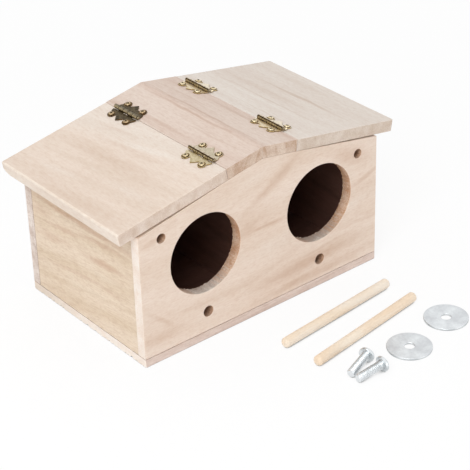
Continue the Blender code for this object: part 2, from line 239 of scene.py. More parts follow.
streakSizes = {  # length and width of the streaks in mm, detail
    "bend": (90, 34, 2.0), "fading": (60, 16, 1.0), "wobble": (24, 9, 2.0), "tone": (120, 16, 3.0),
    "fibre": (10, 0.9, 3.0), "speckle": (2.6, 1.1, 2.0), "fleck": (6, 2.4, 2.0),
    "pores": (5, 0.4, 1.0),  # real pores are 0.2 mm wide, too fine to show
}


def boardFigure(tree, look):  # the figure of a sawn board, from where it lay in its log
    inMm = spotInMm(tree)
    slope = (0, 0, -radians(look["grainDegrees"]))
    shifted = add(tree, "Mapping", {"Location": look["seedMm"], "Rotation": slope}, {0: inMm})

    def streaks(part, output="Fac"):  # noise drawn out along the grain
        along, across, detail = streakSizes[part]
        drawn = add(tree, "Mapping", {"Scale": (1 / along, 1 / across, 1 / across)}, {0: shifted})
        return add(tree, "TexNoise", {"Scale": 1.0, "Detail": detail}, {0: drawn}, output)

    def swayed(part, sway):  # every place pushed aside, by half of sway either way
        push = add(tree, "VectorMath",
                   {"operation": "MULTIPLY_ADD", 1: sway, 2: [-amount / 2 for amount in sway]},
                   {0: streaks(part, "Color")})
        return add(tree, "VectorMath", "ADD", {0: inMm, 1: push})

    *ends, offset = look["crookMm"]  # the trunk was not quite straight
    crook = add(tree, "MapRange", {"From": ends, "To Max": -offset, "interpolation_type": "SMOOTHSTEP"},
                {0: add(tree, "SeparateXYZ", None, {0: inMm}, "X")})
    crook = add(tree, "CombineXYZ", None, {"Y": crook})
    wander = look["wanderMm"]
    bent = add(tree, "VectorMath", "ADD", {0: swayed("bend", (0, wander, wander)), 1: crook})
    tilt = [radians(angle) for angle in look["logTilt"]]
    inLog = add(tree, "Mapping", {"Location": look["pithMm"], "Rotation": tilt}, {0: bent})
    across = add(tree, "VectorMath", {"operation": "MULTIPLY", 1: (0, 1, 1)}, {0: inLog})
    radius = add(tree, "VectorMath", "LENGTH", {0: across}, "Value")
    phase = add(tree, "Math", {"operation": "MULTIPLY_ADD", 1: 1 / look["ringMm"], 2: look["firstRing"]},
                {0: radius})
    season = add(tree, "Math", "FRACT", {0: phase})
    lateWood = add(tree, "ValToRGB", {"stops": look["lateWood"]}, {"Fac": season})
    year = add(tree, "Math", "FLOOR", {0: phase})
    year = add(tree, "Math", {"operation": "ADD", 1: look["seed"]}, {0: year})
    vigour = add(tree, "TexWhiteNoise", {"noise_dimensions": "1D"}, {"W": year}, "Value")
    vigour = add(tree, "MapRange", {"To Min": look["leastRing"]}, {0: vigour})
    *ends, least = look["fading"]
    fading = add(tree, "MapRange", {"From": ends, "To Min": least}, {0: streaks("fading")})
    strength = add(tree, "Math", "MULTIPLY", {0: vigour, 1: fading})
    wobbly = swayed("wobble", (0, look["wobbleMm"], 0))

    def veins(kind):  # single long soft streaks, each where the board has it
        total = None
        for x, y, degrees, halfLong, halfWide, share in look[kind]:
            lie = {"vector_type": "TEXTURE", "Location": (x, y, 0), "Rotation": (0, 0, radians(degrees)),
                   "Scale": (halfLong, halfWide, mmPerMetre)}
            inVein = add(tree, "Mapping", lie, {0: wobbly})
            away = add(tree, "VectorMath", "LENGTH", {0: inVein}, "Value")
            soft = {"From": (1.0, 0.1), "To Max": share, "interpolation_type": "SMOOTHSTEP"}
            amount = add(tree, "MapRange", soft, {0: away})
            total = add(tree, "Math", "MAXIMUM", {0: total, 1: amount}) if total else amount
        return total

    return {
        "spot": inMm,
        "grain": shifted,
        "rings": add(tree, "Math", "MULTIPLY", {0: lateWood, 1: strength}),
        "bands": add(tree, "TexNoise", {"noise_dimensions": "1D", "Scale": look["bandScale"], "Detail": 2.0},
                     {"W": phase}),
        "sapwood": add(tree, "MapRange", {"From": look["sapMm"][::-1]},
                       {0: add(tree, "SeparateXYZ", None, {0: inLog}, "Y")}),
        **{part: streaks(part) for part in ("tone", "fibre", "pores", "speckle", "fleck")},
        **{kind: veins(kind) for kind in ("brownVeins", "paleVeins")},
    }


def planedPaulownia(name, look):
    # Bare pale soft wood from the planer: matt, with wide soft growth bands and short pores along the grain
    finish, tree, shader = newFinish(name)
    figure = boardFigure(tree, look)
    warmth = add(tree, "Math", "ADD", {0: figure["bands"], 1: figure["tone"]})
    warmth = add(tree, "MapRange", {"From": look["warmth"], "interpolation_type": "SMOOTHSTEP"},
                 {0: warmth})
    wood = add(tree, "Mix", {"data_type": "RGBA", 6: look["light"], 7: look["warm"]}, {0: warmth}, 2)
    veils = [  # what is laid over the wood: where, from, to, share, colour
        ("sapwood", 0.0, 1.0, look["sap"], look["pale"]),
        ("rings", 0.0, 1.0, look["rings"], look["dark"]),
        ("fibre", 0.48, 0.8, look["fibre"], look["dark"]),
        ("fibre", 0.5, 0.25, look["fibre"], look["pale"]),
        ("brownVeins", 0.0, 1.0, 1.0, look.get("vein", look["dark"])),
        ("paleVeins", 0.0, 1.0, 1.0, look["pale"]),
        ("fleck", 0.5, 0.8, look["fleck"], look["dark"]),
        ("fleck", 0.5, 0.2, look["fleck"], look["pale"]),
        ("speckle", 0.45, 0.75, look["speckle"], look["dark"]),
        ("pores", 0.62, 0.74, look["pores"], look["dark"]),
    ]
    for part, low, high, share, colour in veils:
        if figure[part]:
            wood = layOver(tree, wood, colour, figure[part], low, high, share)
    height = add(tree, "Math", {"operation": "MULTIPLY_ADD", 1: -look["poreDepth"]},
                 {0: figure["pores"], 2: figure["fibre"]})
    surface(tree, shader, wood, figure["fibre"], height, look["planed"])
    return finish


def sawnEndGrain(name, look, light, dark):
    # The same board sawn across: growth rings end on and a fuzz of open pores, drawn coarse enough to show
    finish, tree, shader = newFinish(name)
    figure = boardFigure(tree, look)
    fuzz, blot = [
        add(tree, "TexNoise", {"Scale": 1 / size, "Detail": 2.0, "Roughness": rough}, {0: figure["grain"]})
        for size, rough in look["endNoiseMm"]
    ]
    shade = add(tree, "Math", {"operation": "MULTIPLY", 1: look["endRings"]}, {0: figure["rings"]})
    for part, share in ((fuzz, look["endFuzz"]), (blot, look["endBlots"]), (figure["tone"], look["endTone"])):
        part = add(tree, "MapRange", {"From": (0.3, 0.7), "To Max": share}, {0: part})
        shade = add(tree, "Math", "ADD", {0: part, 1: shade})
    wood = add(tree, "Mix", {"data_type": "RGBA", 6: light, 7: dark}, {0: shade}, 2)
    if "sideGrain" in look:  # above and below, the saw ran along the fibres
        sideLight, sideDark, *ends = look["sideGrain"]
        facing = add(tree, "TexCoord", output="Normal")
        facing = add(tree, "SeparateXYZ", None, {0: facing}, "X")
        facing = add(tree, "Math", "ABSOLUTE", {0: facing})
        facing = add(tree, "MapRange", {"From": ends}, {0: facing})
        side = add(tree, "Mix", {"data_type": "RGBA", 6: sideLight, 7: sideDark}, {0: shade}, 2)
        wood = add(tree, "Mix", {"data_type": "RGBA"}, {0: facing, 6: wood, 7: side}, 2)
    if "backTintMm" in look:  # browner towards the back
        back = add(tree, "SeparateXYZ", None, {0: figure["grain"]}, "Y")
        wood = layOver(tree, wood, look["backTint"], back, *look["backTintMm"])
    if "boreShadeMm" in look:  # painted shade: darker a little way into the bores, with a ragged edge
        depth = add(tree, "SeparateXYZ", None, {0: figure["spot"]}, "Z")
        ragged = add(tree, "Math", {"operation": "MULTIPLY_ADD", 1: -look["raggedMm"]}, {0: blot, 2: depth})
        wood = layOver(tree, wood, look["boreShade"], ragged, *look["boreShadeMm"])
    surface(tree, shader, wood, fuzz, fuzz, look["sawn"])
    return finish


plainBoard = {  # what the boards share; crookMm: from, to, how far aside; fading: from, to, least
    "sap": 0.0, "sapMm": (-900, -800), "crookMm": (-50, 50, 0), "seed": 0, "seedMm": (0, 0, 0),
    "grainDegrees": 0, "wanderMm": 5, "wobbleMm": 5, "bandScale": 0.7, "warmth": (0.72, 1.28),
    "lateWood": [(0.0, 0.6), (0.08, 0.15), (0.3, 0.0), (0.66, 0.12), (0.84, 0.5), (0.94, 1.0)],
    "leastRing": 0.3, "fading": (0.3, 0.6, 0.25), "brownVeins": (), "paleVeins": (),
    "fibre": 0.1, "fleck": 0.14, "speckle": 0.16, "pores": 0.2, "poreDepth": 0.5,
    "endRings": 0.35, "endFuzz": 0.45, "endBlots": 0.4, "endTone": 0.3, "endNoiseMm": ((0.9, 0.65), (6, 0.5)),
    "planed": {"rough": (0.56, 0.76), "bump": 0.4, "bumpMm": 0.15, "fixed": {"Specular IOR Level": 0.3}},
    "sawn": {"rough": (0.7, 0.88), "bump": 0.4, "bumpMm": 0.12, "fixed": {"Specular IOR Level": 0.2}},
}
boardLooks = {  # veins: x, y, degrees, half length, half width, share
    "front": {
        "light": "#EFDED0", "warm": "#E6D2C1", "dark": "#BE9474", "pale": "#F4EAE0",
        "rings": 0.2, "ringMm": 22.5, "firstRing": 0.516, "wanderMm": 6, "crookMm": (-40, 60, 18),
        "pithMm": (0, -70, -32.4), "logTilt": (0, 5.7, 0),
        "brownVeins": (
            (9, 95, 31, 42, 6.5, 0.3), (10, 96, 31, 40, 2.2, 0.38), (-14, 68, 12, 14, 9, 0.25),
            (2, 65, -1, 25, 2.2, 0.42), (36, 23, 3, 70, 8.5, 0.44), (44, 29, 4, 44, 2, 0.28),
            (40, 11, 1, 70, 5, 0.3), (76, 90, -18, 28, 10, 0.36), (90, 69, 18, 18, 3, 0.35),
            (-84, 29, -40, 22, 3, 0.25), (-90, 89, 10, 14, 3, 0.3), (-86, 18, 4, 30, 8, 0.25),
        ),
        "paleVeins": ((12, 50, 8, 40, 9, 0.25), (-4, 104, 14, 26, 6, 0.25), (70, 50, 10, 40, 6, 0.3)),
    },
    "back": {
        "light": "#EEDDCE", "warm": "#E4D0BF", "dark": "#BE9676", "pale": "#F3E8DD",
        "rings": 0.3, "ringMm": 19, "firstRing": 0.3, "seed": 5, "wanderMm": 8, "crookMm": (-60, 40, -12),
        "pithMm": (0, -60, -20), "logTilt": (0, -7, 2), "seedMm": (400, 0, 0),
        "brownVeins": ((-30, 40, 6, 60, 4, 0.35), (30, 78, 9, 50, 3, 0.3), (10, 22, 3, 70, 6, 0.3)),
    },
    "end": {
        "light": "#EFDDC8", "warm": "#E3CEB5", "dark": "#AE8863", "pale": "#F3E7D5", "vein": "#B98563",
        "rings": 0.13, "fibre": 0.22, "fleck": 0.2, "speckle": 0.2, "pores": 0.26, "ringMm": 5,
        "firstRing": 0.1, "seed": 2, "wanderMm": 3, "pithMm": (0, 40, 10), "logTilt": (0, 2, -6),
        "seedMm": (0, 500, 0), "grainDegrees": 7,
        "brownVeins": (
            (24, 59, 5, 34, 3.6, 0.42), (-4, 38, 8, 46, 2.5, 0.24), (22, 73, 5, 40, 2.6, 0.34),
            (-34, 54, 9, 28, 5, 0.3), (-20, 66, 7, 34, 3, 0.3), (30, 41, 4, 22, 2.2, 0.2),
            # the first vein on the next line is painted shade: a brown band just under the eave
            (0, 80, 0, 90, 4.5, 0.4), (-46, 70, 6, 20, 8, 0.2),
        ),
        "paleVeins": ((24, 49, 4, 30, 4, 0.25), (0, 29, 6, 40, 4, 0.2), (10, 66, 6, 40, 2, 0.3)),
    },
    "floor": {
        "light": "#E7D5CB", "warm": "#DAC5B9", "dark": "#AE8C7A", "pale": "#EFE3DA",
        "rings": 0.35, "fibre": 0.25, "fleck": 0.2, "speckle": 0.2, "pores": 0.25, "ringMm": 9,
        "firstRing": 0.5, "seed": 1, "crookMm": (-50, 50, 4), "pithMm": (0, 40, 60), "logTilt": (0, 2, 2),
        "seedMm": (0, 0, 600), "endRings": 0.2, "backTintMm": (0, 56, 0.8), "backTint": "#E2D2C2",
    },
    "leftLid": {
        "light": "#E6D6C8", "warm": "#DECCBC", "dark": "#BE9C82", "pale": "#EDE7DF", "sap": 0.4,
        "sapMm": (100, 116), "rings": 0.09, "fleck": 0.18, "ringMm": 11, "firstRing": 0.3, "seed": 3,
        "crookMm": (-60, 60, 3), "pithMm": (0, 60, 60), "logTilt": (0, 2, -9), "seedMm": (700, 0, 0),
        "endRings": 0.18,
        "brownVeins": (
            (16, 57, 8, 34, 3.6, 0.2), (-14, 54, 11, 26, 3, 0.16), (4, 70, 4, 70, 9, 0.2),
            (30, 46, 9, 34, 3, 0.18), (0, 92, 4, 30, 6, 0.1), (0, 110, 0, 120, 9, 0.14),
        ),
        "paleVeins": ((-8, 48, 13, 36, 3.5, 0.4), (-34, 84, 5, 30, 5, 0.18), (24, 98, 6, 30, 4, 0.18)),
    },
    "rightLid": {
        "light": "#E4DBD2", "warm": "#DDD1C7", "dark": "#B89A80", "pale": "#EAE4DC", "sap": 0.3,
        "sapMm": (100, 125), "rings": 0.12, "fleck": 0.16, "ringMm": 10, "firstRing": 0.4, "seed": 8,
        "wanderMm": 4, "crookMm": (-60, 60, 2), "pithMm": (0, 60, 45), "logTilt": (0, 1, 4),
        "seedMm": (0, 800, 0), "endRings": 0.15,
        "brownVeins": (
            (0, 61, 1, 70, 1.6, 0.3), (6, 84, 1, 60, 2.6, 0.4), (-6, 72, 2, 60, 6, 0.16),
            (20, 42, 0, 60, 1.2, 0.2), (-10, 104, 2, 50, 4, 0.16),
        ),
        "paleVeins": ((0, 56.5, 1, 70, 3, 0.45), (-30, 98, 0, 30, 4, 0.2)),
    },
    "ridge": {
        "light": "#E0D0C4", "warm": "#D8C4B7", "dark": "#AE876D", "pale": "#EADED5",
        "rings": 0.25, "fibre": 0.14, "pores": 0.22, "ringMm": 8, "firstRing": 0.6, "seed": 4,
        "wanderMm": 4, "crookMm": (-60, 60, 1), "pithMm": (0, 40, 30), "logTilt": (0, 2, 2),
        "seedMm": (0, 0, 900), "endRings": 0.5,
        "brownVeins": ((0, 2.6, 0, 76, 1.5, 0.42), (10, 24, 1, 50, 3, 0.28), (-30, 13, 1, 40, 1.6, 0.25)),
    },
}
boardLooks = {key: {**plainBoard, **look} for key, look in boardLooks.items()}
endColours = {
    "front": ("#FFFAF3", "#EEDACA"), "back": ("#FDF4ED", "#C4AEA0"), "floor": ("#FFFBF6", "#F4E4D6"),
    "leftLid": ("#ECDFD4", "#CCB4A1"), "rightLid": ("#E8DCD1", "#C7B29F"), "ridge": ("#EADACB", "#BD9E87"),
}
planed = {key: planedPaulownia("planedPaulownia_" + key, look) for key, look in boardLooks.items()}
sawn = {key: sawnEndGrain("sawnEndGrain_" + key, boardLooks[key], *pair) for key, pair in endColours.items()}
# Painted light: the lids' eave faces get a lighter copy of the left lid's wood, and the rounded arris above
# them a still lighter one as a painted highlight
eaveLook = dict(boardLooks["leftLid"], light="#F1E4D7", warm="#E8D8C9", sap=0.0, brownVeins=(), paleVeins=())
eaveEdge = planedPaulownia("planedPaulownia_eaveEdge", eaveLook)
arrisLook = dict(eaveLook, light="#F5E9DC", warm="#EDDFD0", fleck=0.3)
paintedHighlightArris = planedPaulownia("paintedHighlightPaulownia_arris", arrisLook)
# the bores' last values are painted shade, darker further in
boredLook = dict(boardLooks["front"], endFuzz=0.75, boreShadeMm=(61.0, 54.0, 0.42), boreShade="#7A5640", raggedMm=2.5,
                 sideGrain=("#F6ECE3", "#C6B5A8", 0.75, 0.2))
boredWood = sawnEndGrain("boredPaulownia_entrances", boredLook, "#FFE8D2", "#D6A684")
drilledLook = dict(boredLook, boreShadeMm=(64.0, 58.0, 0.4), sideGrain=("#E4CDB8", "#B39680", 0.75, 0.2))
drilledWood = sawnEndGrain("drilledPaulownia_holes", drilledLook, "#F4D8BC", "#BE967A")
# Painted shade: the inner faces get a dark copy of the back wall's wood, for the shade inside the closed
# chambers
insideShadeLook = dict(boardLooks["back"], light="#835F54", warm="#745044", dark="#50362C", pale="#907062",
                 seedMm=(300, 300, 0))
paintedShadeInside = planedPaulownia("paintedShadePaulownia_inside", insideShadeLook)
print("wood finishes made:", len(bpy.data.materials))


# Boards

walls = {
    "cornerEaseMm": 0.55, "jointEaseMm": 0.22, "topEaseMm": 0.1, "gluedGapMm": 0.06, "floorGapMm": 0.4,
    "holes": (  # offset, height, radius and rim in mm, steps
        (48.2, 64.4, 28.2, 0.4, 240),  # entrances
        (48.2, 20.8, 3.9, 0.25, 40),  # perch holes
        (82.5, 89.1, 3.35, 0.25, 40),  # bolt holes
    ),
    "rimMm": 2,  # how near to a hole a face still belongs to it
    "fuzzMm": 0.8, "fuzz": ((1.3, 1), (0.6, 0.6)), "leastFuzz": -0.4,
    "chipMm": 0.8, "chips": ((3.1, 1.1), (1.1, 0.5)), "chipSteps": 110, "chipSeed": 40, "chipRise": 0.55,
    "chipDepth": (0.2, 0.6), "chippedMm": 1.5, "endNearMm": 1.2, "underWallMm": 8,
    "facing": {"end": 0.75, "inside": 0.7, "bore": 0.8, "chipped": 0.4},
}
roof = {
    "pitch": 9.85, "ridgeHeightMm": 123.7, "thicknessMm": 8.5, "setbackMm": 0.9, "ridgeBoardMm": 30.3,
    "overhangMm": 15.3, "eaveGapMm": {"left": 2.1, "right": 1.4}, "jointGapMm": 0.25,
    "easeMm": 0.95, "jointEaseMm": 0.3, "creaseEaseMm": 0.12, "creaseMm": 3, "ridgeEaseMm": 0.5,
    "eaveFootEaseMm": 1.3, "cornerEaseMm": 1.4, "wornArrisMm": 1.5, "wornCornerMm": 1.8,
    "tipMm": 9, "tipLiftMm": 3.7, "tipCutsMm": (0.7, 1.5, 2.5, 3.7, 5, 6.8, 9),
    "facing": {"end": 0.75, "arris": 0.25, "eave": 0.92}, "hingeStripMm": 10,
}
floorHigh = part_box("floor_board")[1] * mmPerMetre
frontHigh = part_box("front_wall")[1] * mmPerMetre
endLow, endHigh = [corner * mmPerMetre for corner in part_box("right_end_wall")]
dividerLow, dividerHigh = [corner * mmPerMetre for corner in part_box("divider")]
pitch = radians(roof["pitch"])
halfWidth, halfDepth, floorTop = floorHigh
glued = walls["gluedGapMm"]
wallFoot = floorTop + walls["floorGapMm"]
wallInner = -frontHigh.y
entranceX, entranceHeight, entranceRadius = walls["holes"][0][:3]


def boredHole(cutter, centre, radius, lip, steps, low, high):  # a hole with rounded rims, along Z
    wide = radius + lip
    profile = [(0, low - overrunMm), (wide, low - overrunMm)]
    profile += arc((wide, low + lip), lip, 270, 180, 4)
    profile += arc((wide, high - lip), lip, 180, 90, 4)
    profile += [(wide, high + overrunMm), (0, high + overrunMm)]
    bore = turned(profile, steps)
    bmesh.ops.translate(bore, verts=bore.verts, vec=(*centre, 0))
    part = bpy.data.meshes.new("bore")
    bore.to_mesh(part)
    bore.free()
    cutter.from_mesh(part)
    bpy.data.meshes.remove(part)


def board(name, outline, low, high, where, easeFor, finishes, sortFace, body, slot,
          along="Z", holes=(), wear=None):
    shape = pushOut(outline, low, high, along)
    eased = [easeFor((edge.verts[0].co + edge.verts[1].co) / 2) for edge in shape.edges]
    weight = shape.edges.layers.float.new("bevel_weight_edge")
    for edge, ease in zip(shape.edges, eased):
        edge[weight] = ease / max(eased)
    piece = newPiece(name + "_wood", shape, finishes, where)
    easeEdges(piece, max(eased))
    if holes:
        cutter = bmesh.new()
        for centre, radius, lip, steps in holes:
            boredHole(cutter, centre, radius, lip, steps, low, high)
        combine(piece, "DIFFERENCE", cutter, where)
    settle(piece)
    if wear:
        shape = bmesh.new()
        shape.from_mesh(piece.data)
        wear(shape)
        shape.to_mesh(piece.data)
        shape.free()
    shadeSmooth(piece)
    for face in piece.data.polygons:
        face.material_index = sortFace(face.center * mmPerMetre, face.normal)
    hand(piece, body, slot, name)


def upright(outward):  # local X along the board, Y up, Z to the outside
    return Matrix([Vector((0, 0, 1)).cross(outward), (0, 0, 1), outward]).transposed().to_4x4()


def roofUnderside(x):
    return roof["ridgeHeightMm"] - roof["thicknessMm"] / cos(pitch) - abs(x) * tan(pitch)


jointX = roof["ridgeBoardMm"] * cos(pitch) - roof["thicknessMm"] * sin(pitch)
jointHeight = roofUnderside(jointX) - glued


def wallTop(x):  # the walls fall away a little more than the lids do
    if abs(x) <= jointX:
        return roofUnderside(x) - glued
    eaveHeight = roofUnderside(halfWidth) - roof["eaveGapMm"]["left" if x < 0 else "right"]
    return jointHeight + (eaveHeight - jointHeight) * (abs(x) - jointX) / (halfWidth - jointX)


def fuzzEntrances(shape):  # the saw lifts short fibres where it leaves the wood
    for vert in shape.verts:
        spot = vert.co * mmPerMetre
        centre = Vector((copysign(entranceX, spot.x), entranceHeight, spot.z))
        away = spot - centre
        if abs(away.length - entranceRadius) < nearMm and spot.z < wallInner + nearMm:
            fuzz = max(walls["leastFuzz"], layered(away, walls["fuzz"]))
            away.length = entranceRadius - walls["fuzzMm"] * fuzz
            vert.co = (centre + away) * metresPerMm


def chipEnds(shape):  # the floor's sawn ends are chipped along their lower edge
    reach = halfWidth * metresPerMm

    def atEnd(vert):
        return abs(abs(vert.co.x) - reach) < walls["endNearMm"] * metresPerMm

    ends = [
        edge for edge in shape.edges
        if all(atEnd(vert) for vert in edge.verts) and edge.calc_length() > reach
        and abs(edge.verts[0].co.y - edge.verts[1].co.y) > reach
    ]
    bmesh.ops.subdivide_edges(shape, edges=ends, cuts=walls["chipSteps"], use_grid_fill=True)
    outer, lower = walls["chipDepth"]
    for vert in shape.verts:
        if atEnd(vert) and abs(vert.co.y) < (halfDepth - walls["chippedMm"]) * metresPerMm:
            spot = Vector((vert.co.y * mmPerMetre, copysign(walls["chipSeed"], vert.co.x), 0))
            chip = min(1, max(0, layered(spot, walls["chips"]))) * walls["chipMm"] * metresPerMm
            low = max(0, 1 - vert.co.z / (floorTop * metresPerMm * walls["chipRise"]))
            vert.co.x -= copysign(chip * (outer + lower * low), vert.co.x)
            vert.co.z += chip * low


def sortWallFace(spot, normal):  # 0 planed, 1 sawn end, 2 painted shade inside, 3 entrance, 4 drilled
    rim, facing = walls["rimMm"], walls["facing"]
    if abs(normal.x) > facing["end"] and abs(abs(spot.x) - halfWidth) < nearMm:
        return 1
    if normal.z < -facing["inside"] and abs(spot.z - wallInner) < nearMm:
        return 2
    inBoard = wallFoot + rim < spot.y < wallTop(spot.x) - rim and abs(spot.x) < halfWidth - rim
    if abs(normal.z) < facing["bore"] and inBoard:
        fromEntrance = hypot(abs(spot.x) - entranceX, spot.y - entranceHeight)
        return 3 if fromEntrance < entranceRadius + rim else 4
    return 0


def sortEndFace(spot, normal):  # 0 planed, 1 painted shade inside
    return 1 if normal.z < -walls["facing"]["inside"] else 0


def sortFloorFace(spot, normal):  # 0 planed, 1 sawn end, 2 painted shade inside
    if abs(abs(spot.x) - halfWidth) < walls["chippedMm"] and abs(normal.x) > walls["facing"]["chipped"]:
        return 1
    under = walls["underWallMm"]
    inside = abs(spot.x) < halfWidth - under and abs(spot.y) < halfDepth - under
    return 2 if normal.z > walls["facing"]["inside"] and inside else 0


def easeWall(spot):
    if abs(spot.y - wallFoot) < nearMm or spot.z < wallInner + nearMm:
        return walls["jointEaseMm"]
    return walls["cornerEaseMm" if abs(abs(spot.x) - halfWidth) < nearMm else "topEaseMm"]


def easeJoint(spot):
    return walls["jointEaseMm"]


def easeFloor(spot):
    return walls["cornerEaseMm" if spot.z < floorTop - nearMm else "jointEaseMm"]


def buildWalls():
    gable = [(-halfWidth, wallFoot), (halfWidth, wallFoot)]
    gable += [(x, wallTop(x)) for x in (halfWidth, jointX, 0, -jointX, -halfWidth)]
    holes = [((side * x, y), *size) for side in (-1, 1) for x, y, *size in walls["holes"]]
    board("front_wall", gable, wallInner, halfDepth, upright((0, -1, 0)), easeWall,
          [planed["front"], sawn["front"], paintedShadeInside, boredWood, drilledWood], sortWallFace,
          "box", "front_board", holes=holes, wear=fuzzEntrances)
    board("back_wall", gable, wallInner, halfDepth, upright((0, 1, 0)), easeWall,
          [planed["back"], sawn["back"], paintedShadeInside], sortWallFace, "box", "back_board")
    reach = wallInner - glued
    for name, side in (("left_end_wall", -1), ("right_end_wall", 1)):
        outline = rectangle(reach, wallFoot, wallTop(side * endHigh.x))
        board(name, outline, endLow.x, endHigh.x, upright((side, 0, 0)), easeJoint,
              [planed["end"], paintedShadeInside], sortEndFace, "box", "end_board")
    outline = rectangle(reach, wallFoot, wallTop(dividerHigh.x))
    board("divider", outline, dividerLow.x, dividerHigh.x, upright((1, 0, 0)), easeJoint, [paintedShadeInside],
          lambda spot, normal: 0, "box", "end_board")
    outline = rectangle(halfWidth, -halfDepth, halfDepth)
    board("floor_board", outline, 0, floorTop, Matrix.Identity(4), easeFloor,
          [planed["floor"], sawn["floor"], paintedShadeInside], sortFloorFace, "box", "floor_board", wear=chipEnds)
    print("walls, divider and floor made")


def slopeFrame(side):  # X down the slope, Y along the ridge, Z out of the roof
    turn = Matrix.Rotation(pi if side == "left" else 0, 4, "Z")
    return moved(0, roof["setbackMm"], roof["ridgeHeightMm"]) @ turn @ Matrix.Rotation(pitch, 4, "Y")


def buildRoof():
    grainAlongX = Matrix.Rotation(-pi / 2, 4, "Z")
    mitreTop = glued / 2 / cos(pitch)
    mitreFoot = mitreTop + roof["thicknessMm"] * tan(pitch)
    joint = roof["ridgeBoardMm"]
    half = roof["jointGapMm"] / 2
    eave = (halfWidth + roof["overhangMm"]) / cos(pitch)
    deep = -roof["thicknessMm"]
    front = halfDepth + roof["setbackMm"]
    facing = roof["facing"]

    def easeRoof(spot):
        atEave = spot.y > eave - nearMm
        if atEave and abs(spot.z - deep / 2) < nearMm and abs(spot.x) > halfDepth - nearMm:
            return roof["wornCornerMm" if side == "left" and spot.x > 0 else "cornerEaseMm"]
        if atEave and abs(spot.x) < nearMm:
            top = "wornArrisMm" if side == "left" else "easeMm"
            return roof["eaveFootEaseMm" if spot.z < deep + nearMm else top]
        if abs(spot.y - joint) < nearMm or spot.z < deep + nearMm:
            return roof["jointEaseMm"]
        if spot.y < roof["creaseMm"]:
            return roof["creaseEaseMm"]
        return roof["ridgeEaseMm" if spot.y < joint else "easeMm"]

    def wearTip(shape):  # the left lid's far corner is knocked round from below
        for cut in roof["tipCutsMm"]:
            for spot in (Vector((halfDepth - cut, 0, 0)), Vector((0, eave - cut, 0))):
                parts = shape.verts[:] + shape.edges[:] + shape.faces[:]
                bmesh.ops.bisect_plane(shape, geom=parts, plane_co=spot * metresPerMm,
                                       plane_no=spot.normalized())
        for vert in shape.verts:
            spot = vert.co * mmPerMetre
            near = [max(0, 1 - away / roof["tipMm"]) for away in (halfDepth - spot.x, eave - spot.y)]
            vert.co.z += roof["tipLiftMm"] * (near[0] * near[1]) ** 2 * spot.z / deep * metresPerMm

    def sortRoofFace(spot, normal):  # 0 planed, 1 sawn end, 2 eave edge, painted lighter, 3 rounded arris, a painted highlight
        if abs(normal.x) > facing["end"]:
            return 1
        if spot.y < joint + roof["hingeStripMm"] or normal.y < facing["arris"]:
            return 0
        return 2 if normal.y > facing["eave"] or normal.z < 0 else 3

    for side in ("left", "right"):  # the boards end flush with the front wall
        where = slopeFrame(side) @ grainAlongX
        low, high = (-front, halfDepth) if side == "left" else (-halfDepth, front)
        outline = [(mitreTop, 0), (joint - half, 0), (joint - half, deep), (mitreFoot, deep)]
        board(f"ridge_{side}_board", outline, low, high, where, easeRoof, [planed["ridge"], sawn["ridge"]],
              sortRoofFace, "box", "ridge_board", "X")
        outline = [(joint + half, 0), (eave, 0), (eave, deep), (joint + half, deep)]
        board(f"{side}_lid", outline, low, high, where, easeRoof,
              [planed[side + "Lid"], sawn[side + "Lid"], eaveEdge, paintedHighlightArris], sortRoofFace,
              f"lid_{side}", "lid_board", "X", wear=wearTip if side == "left" else None)
    print("ridge boards and lids made")


buildWalls()
buildRoof()


# Hinges

def looksFrom(shared, columns, rows):  # one look for each row of a table
    return {key: {**shared, **dict(zip(columns, row))} for key, row in rows.items()}


plainBrass = {"mottled": (0.35, 0.65), "hollow": (0.85, 0.3), "sheen": (0.08, 0.12), "bump": 0.25,
              "bumpMm": 0.08}
brassColumns = ("bright", "dull", "deep", "patina", "rough", "mottleMm", "hollowMm", "barrelShadeMm")
brassLooks = looksFrom(plainBrass, brassColumns, {  # the last column: the barrel's painted shade on the leaf fades out between these, from the pin
    # painted reflection: the leaf and screw rows are one brass in several tones, each hinge given the tones
    # its brass showed under this light
    "leaf": ("#F5E6CA", "#D0BA8E", "#6A5636", 0.9, 0.3, 1.8, 0.5),
    "leeLeaf": ("#F2E7D1", "#DBCCB2", "#7A6A50", 0.9, 0.26, 2.0, 0.5, (2.3, 1.8)),
    "khakiLeaf": ("#DED0B1", "#B6A57B", "#6A5636", 0.9, 0.3, 1.8, 0.4),
    "greyLeaf": ("#D6CAB3", "#B7AA91", "#5A4A34", 0.9, 0.26, 2.0, 0.5, (2.2, 1.7)),
    "darkLeaf": ("#6F6149", "#3C3325", "#433828", 1.0, 0.36, 1.5, 0.6),
    # the barrel rows are painted light and shade: one brass, a darker or paler copy by which way each face of
    # a barrel turns
    "barrel": ("#CDBB93", "#5A482E", "#3A2C1A", 1.0, 0.26, 0.8, 0.4),
    "paintedLightBarrel": ("#DECFB8", "#B8A990", "#5A4A34", 0.9, 0.3, 1.2, 0.4),
    "tanBarrel": ("#A6987E", "#73674F", "#3A2C1A", 1.0, 0.3, 1.0, 0.4),
    "dimBarrel": ("#82765E", "#564C3A", "#30261A", 1.0, 0.34, 1.0, 0.4),
    "paintedShadeBrass": ("#57401F", "#33220E", "#1E140A", 1.0, 0.42, 0.9, 0.4),
    "dish": ("#8A6A3C", "#4A341A", "#2E2010", 1.0, 0.4, 0.9, 0.5),
    "cutEdge": ("#C9B27A", "#8E7440", "#4A3820", 0.8, 0.3, 1.2, 0.4),
    "screw": ("#F4E6C4", "#C6AE80", "#6A5232", 0.8, 0.28, 1.2, 0.4),
    "tanScrew": ("#E2CFAC", "#A98C66", "#584228", 0.9, 0.32, 1.2, 0.5),
})


